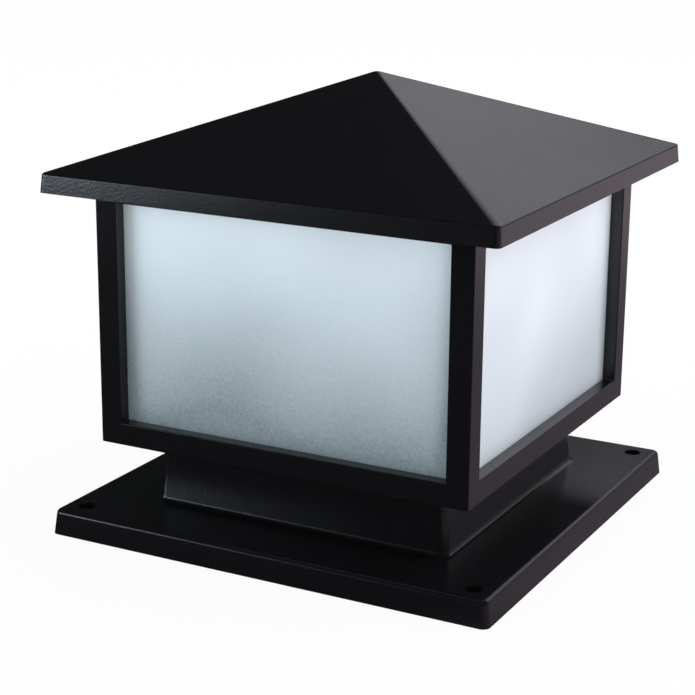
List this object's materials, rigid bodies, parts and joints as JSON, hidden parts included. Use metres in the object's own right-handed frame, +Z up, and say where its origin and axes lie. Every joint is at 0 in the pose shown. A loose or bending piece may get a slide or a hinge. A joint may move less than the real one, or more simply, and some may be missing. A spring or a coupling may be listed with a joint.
{
  "type": "pier mount lantern",
  "caption": "Square outdoor lantern on a flanged base with a hollow neck: black cast frame, frosted windows, lift-off hip roof and a screw-in lamp.",
  "frame": {"origin": "middle of the underside of the base flange, on the surface it stands on", "axes": "+Z up through the neck, lamp and roof apex; -Y is the front window, +X the right window"},
  "size_m": [0.2504, 0.2504, 0.237],
  "materials": {
    "black_coat": "satin black powder coat on cast aluminium, fine speckle",
    "frosted_glass": "clear outer face, frosted inner face",
    "black_rubber": "matt moulded rubber",
    "zinc_steel": "bright zinc plate",
    "spring_steel": "plain spring steel",
    "black_steel": "blackened steel screw",
    "porcelain": "white glazed porcelain",
    "brass": "plain brass",
    "nickel_cap": "plated lamp cap",
    "black_glass": "glassy black insulator",
    "white_plastic": "moulded white plastic",
    "led_board_white": "white solder mask",
    "led_phosphor": "yellow phosphor",
    "opal_diffuser": "opal plastic, satin",
    "terminal_plastic": "moulded off-white plastic",
    "wire_brown": "wire insulation",
    "wire_blue": "wire insulation",
    "wire_green_yellow": "green and yellow striped wire insulation"
  },
  "bodies": {
    "lantern": {"base_flange": "black_coat", "lantern_foot_rail": "black_coat", "lantern_head_rail": "black_coat", "lantern_post_front": "black_coat", "lantern_post_right": "black_coat", "lantern_post_back": "black_coat", "lantern_post_left": "black_coat", "lantern_floor": "black_coat", "pane_stop": "black_coat", "glass_pane_front": "frosted_glass", "pane_seat_front": "black_rubber", "glass_pane_right": "frosted_glass", "pane_seat_right": "black_rubber", "glass_pane_back": "frosted_glass", "pane_seat_back": "black_rubber", "glass_pane_left": "frosted_glass", "pane_seat_left": "black_rubber", "neck_gasket": "black_rubber", "roof_gasket": "black_rubber", "cable_grommet": "black_rubber", "frame_screws": "zinc_steel", "pane_clip_screws": "zinc_steel", "bracket_screws": "zinc_steel", "lampholder_screws": "zinc_steel", "terminal_fixing_screws": "zinc_steel", "earth_screw": "zinc_steel", "lampholder_bracket": "zinc_steel", "pane_clips": "spring_steel", "lampholder_body": "porcelain", "lampholder_shell": "brass", "lampholder_contact": "brass", "terminal_tubes": "brass", "terminal_screws": "zinc_steel", "earth_tag": "zinc_steel", "terminal_block": "terminal_plastic", "wire_live": "wire_brown", "wire_neutral": "wire_blue", "wire_earth": "wire_green_yellow"},
    "roof": {"roof_cap": "black_coat"},
    "lamp_tip": {"bulb_contact": "nickel_cap"},
    "lamp": {"bulb_insulator": "black_glass", "bulb_cap": "nickel_cap", "bulb_housing": "white_plastic", "led_board": "led_board_white", "led_chips": "led_phosphor", "bulb_globe": "opal_diffuser"},
    "screw_front": {"roof_washer_front": "zinc_steel", "roof_screw_front": "black_steel"},
    "screw_right": {"roof_washer_right": "zinc_steel", "roof_screw_right": "black_steel"},
    "screw_back": {"roof_washer_back": "zinc_steel", "roof_screw_back": "black_steel"},
    "screw_left": {"roof_washer_left": "zinc_steel", "roof_screw_left": "black_steel"}
  },
  "joints": [
    {"name": "roof_lift", "type": "slide", "parent": "lantern", "child": "roof", "axis": [0, 0, 1], "range_m": [0, 0.12]},
    {"name": "lamp_rise", "type": "slide", "parent": "lantern", "child": "lamp_tip", "axis": [0, 0, 1], "range_m": [0, 0.01454]},
    {"name": "lamp_turn", "type": "hinge", "parent": "lamp_tip", "child": "lamp", "pos_m": [0, 0, 0.078], "axis": [0, 0, 1], "range_deg": [0, 1440]},
    {"name": "screw_drop_front", "type": "slide", "parent": "lantern", "child": "screw_front", "axis": [0, 0, -1], "range_m": [0, 0.00562]},
    {"name": "screw_drop_right", "type": "slide", "parent": "lantern", "child": "screw_right", "axis": [0, 0, -1], "range_m": [0, 0.00562]},
    {"name": "screw_drop_back", "type": "slide", "parent": "lantern", "child": "screw_back", "axis": [0, 0, -1], "range_m": [0, 0.00562]},
    {"name": "screw_drop_left", "type": "slide", "parent": "lantern", "child": "screw_left", "axis": [0, 0, -1], "range_m": [0, 0.00562]}
  ],
  "couplings": [
    {"joint": "lamp_rise", "follows": "lamp_turn", "m_per_rad": 0.00057757}
  ]
}
